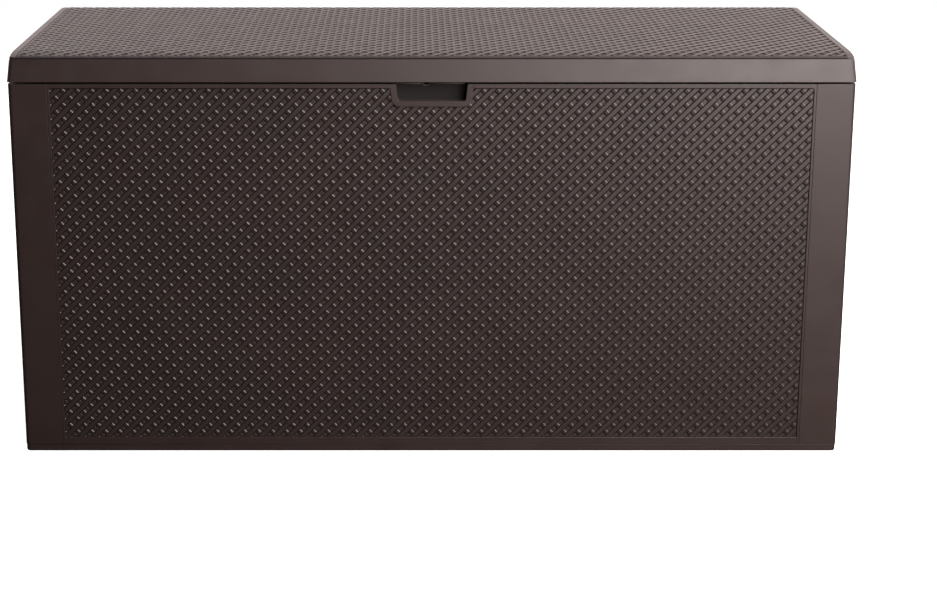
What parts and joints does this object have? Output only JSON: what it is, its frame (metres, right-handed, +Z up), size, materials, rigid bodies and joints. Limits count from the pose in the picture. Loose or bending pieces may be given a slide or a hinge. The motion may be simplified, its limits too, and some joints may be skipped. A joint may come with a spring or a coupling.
{
  "type": "deck storage box",
  "caption": "Rectangular resin deck storage box with woven-look panels, plain corner posts, a finger pocket and a rear-hinged lid on sliding stays.",
  "frame": {"origin": "centre of the box's footprint, on the surface it stands on", "axes": "+X along the width to the right as seen from the front, +Y from front to rear, +Z up"},
  "size_m": [1.17, 0.45, 0.58],
  "materials": {
    "resin": "satin dark brown with a fine grain",
    "nylon": "smooth black",
    "coated_steel": "dark powder coat",
    "steel": "zinc plated"
  },
  "bodies": {
    "box": {"floor_panel": "resin", "front_panel": "resin", "pocket_insert": "resin", "rear_panel": "resin", "left_side_panel": "resin", "right_side_panel": "resin", "corner_screw_front_left_low": "steel", "corner_screw_front_left_high": "steel", "corner_screw_rear_left_low": "steel", "corner_screw_rear_left_high": "steel", "corner_screw_front_right_low": "steel", "corner_screw_front_right_high": "steel", "corner_screw_rear_right_low": "steel", "corner_screw_rear_right_high": "steel", "hinge_pin_left": "steel", "hinge_pin_middle": "steel", "hinge_pin_right": "steel", "stay_rail_left": "nylon", "stay_rail_right": "nylon", "rail_screw_left_front": "steel", "rail_screw_left_rear": "steel", "rail_screw_right_front": "steel", "rail_screw_right_rear": "steel"},
    "lid": {"lid_shell": "resin", "lock_tab": "resin", "lock_tab_screw": "steel", "stay_bracket_left": "coated_steel", "stay_bracket_right": "coated_steel", "bracket_screw_left_front": "steel", "bracket_screw_left_rear": "steel", "bracket_screw_right_front": "steel", "bracket_screw_right_rear": "steel", "stay_pivot_pin_left": "steel", "stay_pivot_pin_right": "steel"},
    "stay_left": {"stay_arm_left": "coated_steel", "stay_shoe_left": "nylon"},
    "stay_right": {"stay_arm_right": "coated_steel", "stay_shoe_right": "nylon"}
  },
  "joints": [
    {"name": "lid_hinge", "type": "hinge", "parent": "box", "child": "lid", "pos_m": [0, 0.22, 0.5405], "axis": [-1, 0, 0], "range_deg": [0, 80]},
    {"name": "stay_pivot_left", "type": "hinge", "parent": "lid", "child": "stay_left", "pos_m": [-0.5467, 0.06156, 0.51823], "axis": [-1, 0, 0], "range_deg": [-160, 0]},
    {"name": "stay_pivot_right", "type": "hinge", "parent": "lid", "child": "stay_right", "pos_m": [0.5467, 0.06156, 0.51823], "axis": [-1, 0, 0], "range_deg": [-160, 0]}
  ],
  "couplings": [
    {"joint": "stay_pivot_left", "follows": "lid_hinge", "ratio": -2},
    {"joint": "stay_pivot_right", "follows": "lid_hinge", "ratio": -2}
  ]
}
